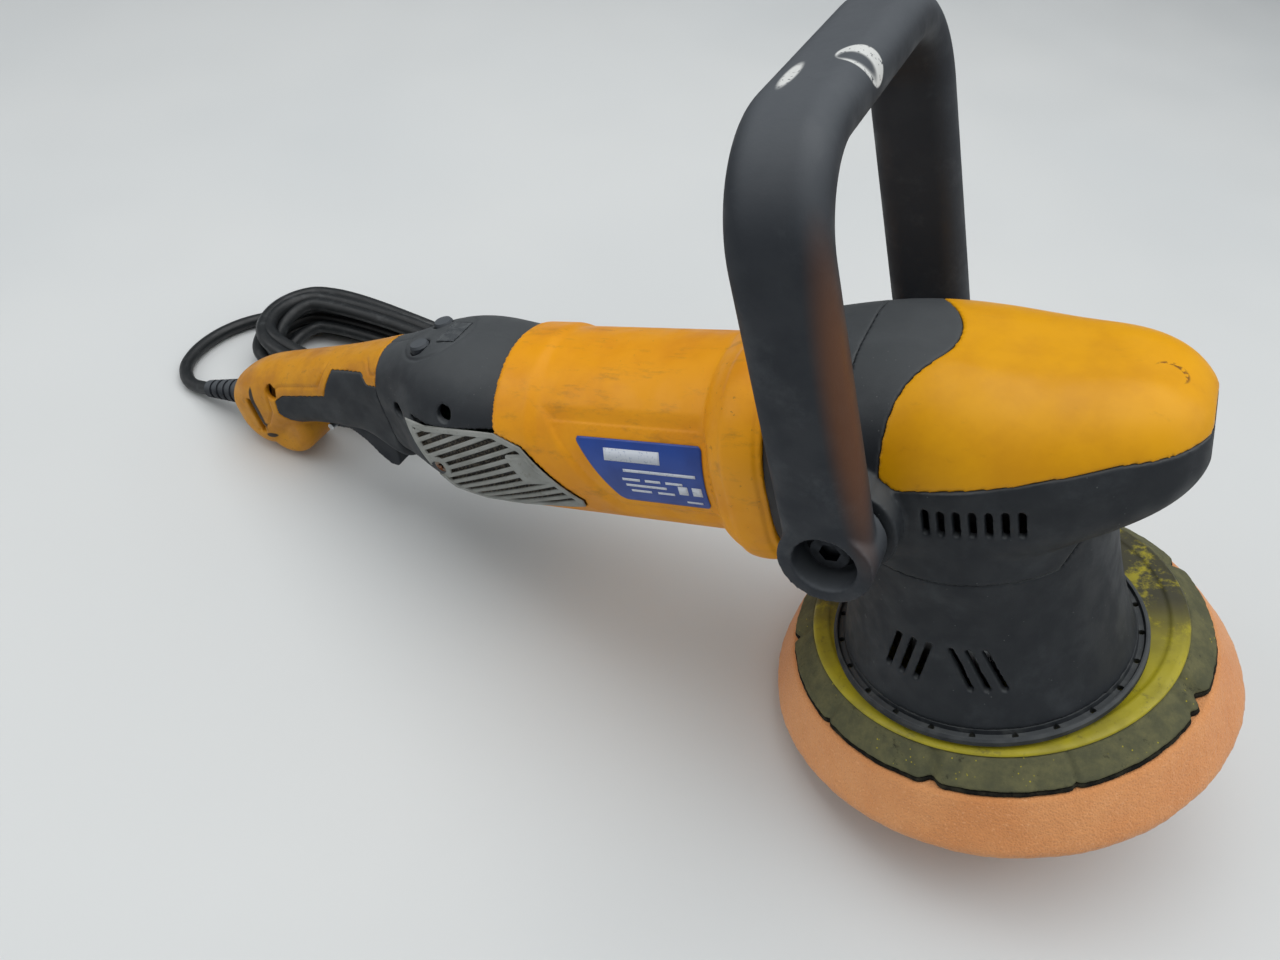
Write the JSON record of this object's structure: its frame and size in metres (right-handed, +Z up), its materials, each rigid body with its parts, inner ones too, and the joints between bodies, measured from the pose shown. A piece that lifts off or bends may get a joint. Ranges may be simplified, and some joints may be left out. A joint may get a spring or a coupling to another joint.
{
  "type": "dual action polisher",
  "caption": "Long bodied corded dual action polisher with a D-handle over its head, an eccentric drive, a foam pad on a backing plate and a paddle trigger.",
  "frame": {"origin": "on the table, under the middle of the box of the tool without its cord", "axes": "+X towards the nose, +Z up from the table, the tool leaning back on the rim of its pad and the knob under its handle"},
  "size_m": [0.4913, 0.1803, 0.2562],
  "materials": {
    "black_plastic": null,
    "rubber_grip": null,
    "yellow_plastic": null,
    "label_film": null,
    "grey_plastic": null,
    "lens": null,
    "board": null,
    "steel": null,
    "aluminium": null,
    "copper": null,
    "carbon": null,
    "lime_plastic": null,
    "foam": null
  },
  "bodies": {
    "housing": {"armature_bearing_races": "steel", "bearing_bracket": "aluminium", "boot": "rubber_grip", "brush_holders": "black_plastic", "brushes": "carbon", "cable_clamp": "black_plastic", "collar": "black_plastic", "cord_coil": "rubber_grip", "cord_lead": "rubber_grip", "cord_tail": "rubber_grip", "display_lens": "lens", "field_coils": "copper", "gear_case": "aluminium", "grille_filters": "steel", "grille_left": "grey_plastic", "grille_right": "grey_plastic", "grille_screws": "steel", "handle_bolts": "steel", "handle_cover": "yellow_plastic", "handle_left": "black_plastic", "handle_right": "black_plastic", "head_cover": "black_plastic", "housing_screws": "steel", "label_plate": "label_film", "motor_housing": "yellow_plastic", "nose_cover": "yellow_plastic", "plug_body": "rubber_grip", "plug_pins": "copper", "rear_housing": "black_plastic", "skirt": "black_plastic", "speed_board": "board", "spindle_bearing_races": "steel", "stator": "steel", "switch_module": "black_plastic", "trigger_pin": "steel", "vent_ring": "black_plastic"},
    "drive": {"bevel_gear": "steel", "spindle": "steel", "eccentric": "aluminium", "counterweight": "steel", "spindle_bearing_inners": "steel", "pad_bearing_races": "steel"},
    "pad": {"pad_shaft": "steel", "plate_bolt": "steel", "backing_plate": "lime_plastic", "plate_foam": "foam", "hook_disc": "foam", "foam_pad": "foam", "pad_bearing_inners": "steel"},
    "armature": {"armature_shaft": "steel", "armature_core": "steel", "armature_windings": "copper", "commutator": "board", "fan": "grey_plastic", "pinion": "steel", "armature_bearing_inners": "steel"},
    "trigger": {"trigger": "black_plastic"},
    "button_slower": {"button_slower": "black_plastic"},
    "button_faster": {"button_faster": "black_plastic"},
    "d_handle": {"d_handle": "rubber_grip"}
  },
  "joints": [
    {"name": "armature_spin", "type": "hinge", "parent": "housing", "child": "armature", "pos_m": [0.09692, -0.0105, 0.14004], "axis": [0.9309, 0, 0.3652], "continuous": true},
    {"name": "drive_spin", "type": "hinge", "parent": "housing", "child": "drive", "pos_m": [0.14038, -0.0105, 0.02926], "axis": [-0.3652, 0, 0.9309], "continuous": true},
    {"name": "pad_spin", "type": "hinge", "parent": "drive", "child": "pad", "pos_m": [0.14038, 0, 0.02926], "axis": [-0.3652, 0, 0.9309], "continuous": true},
    {"name": "trigger_pull", "type": "hinge", "parent": "housing", "child": "trigger", "pos_m": [-0.15764, -0.0105, 0.03318], "axis": [0, -1, 0], "range_deg": [0, 7], "stiffness_Nm_per_rad": 1, "springref_deg": -2.86},
    {"name": "slower_press", "type": "slide", "parent": "housing", "child": "button_slower", "axis": [0.3652, 0, -0.9309], "range_m": [0, 0.0008], "stiffness_N_per_m": 400, "springref_m": -0.0005},
    {"name": "faster_press", "type": "slide", "parent": "housing", "child": "button_faster", "axis": [0.3652, 0, -0.9309], "range_m": [0, 0.0008], "stiffness_N_per_m": 400, "springref_m": -0.0005},
    {"name": "d_handle_tilt", "type": "hinge", "parent": "housing", "child": "d_handle", "pos_m": [0.06966, -0.0105, 0.13557], "axis": [0, 1, 0], "range_deg": [-12, 35]}
  ],
  "couplings": [
    {"joint": "drive_spin", "follows": "armature_spin", "ratio": -0.33333}
  ]
}
